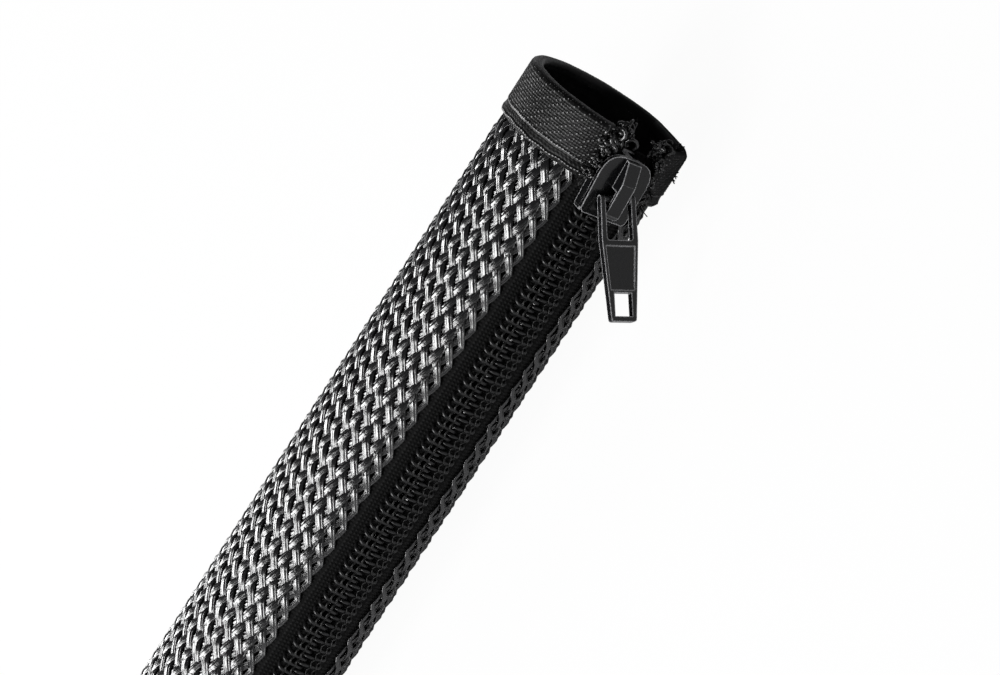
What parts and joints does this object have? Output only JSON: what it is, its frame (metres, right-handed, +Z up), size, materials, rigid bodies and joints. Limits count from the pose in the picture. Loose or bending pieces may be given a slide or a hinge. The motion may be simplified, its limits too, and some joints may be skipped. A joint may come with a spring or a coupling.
{
  "type": "zippered cable sleeve",
  "caption": "Round braided sleeve for bundling cables, with a coil zipper along its side, a slider with a pull tab, and folded webbing round both ends.",
  "frame": {"origin": "under the middle of the whole object, on the surface it lies on", "axes": "+X along the tube, towards the mouth where the slider rests; +Z up; the zipper faces -Y"},
  "size_m": [0.3, 0.0404, 0.027],
  "materials": {
    "braid": "glossy flat-laid monofilament bundles, black",
    "webbing": "fine ribbed webbing, black, cut ends melted and frayed",
    "tape": "woven zipper tape, matt black",
    "coil": "nylon coil, black, half gloss",
    "paint": "cast zinc with a smooth satin black coat",
    "steel": "stamped spring strip"
  },
  "bodies": {
    "sleeve": {"braided_sleeve": "braid", "zipper_tape_upper": "tape", "zipper_tape_lower": "tape", "zipper_coil_upper": "coil", "zipper_coil_lower": "coil", "bottom_stop": "coil", "mouth_binding": "webbing", "end_binding": "webbing"},
    "slider": {"slider_body": "paint", "slider_crown": "paint", "slider_lock_spring": "steel"},
    "pull": {"pull_tab": "paint"}
  },
  "joints": [
    {"name": "slider_travel", "type": "slide", "parent": "sleeve", "child": "slider", "axis": [1, 0, 0], "range_m": [-0.273, 0], "deforming": ["zipper_coil_upper", "zipper_coil_lower"]},
    {"name": "pull_hinge", "type": "hinge", "parent": "slider", "child": "pull", "pos_m": [0.1409, -0.00871, 0.01307], "axis": [-0.3746, 0, 0.9272], "range_deg": [-36, 105]}
  ]
}
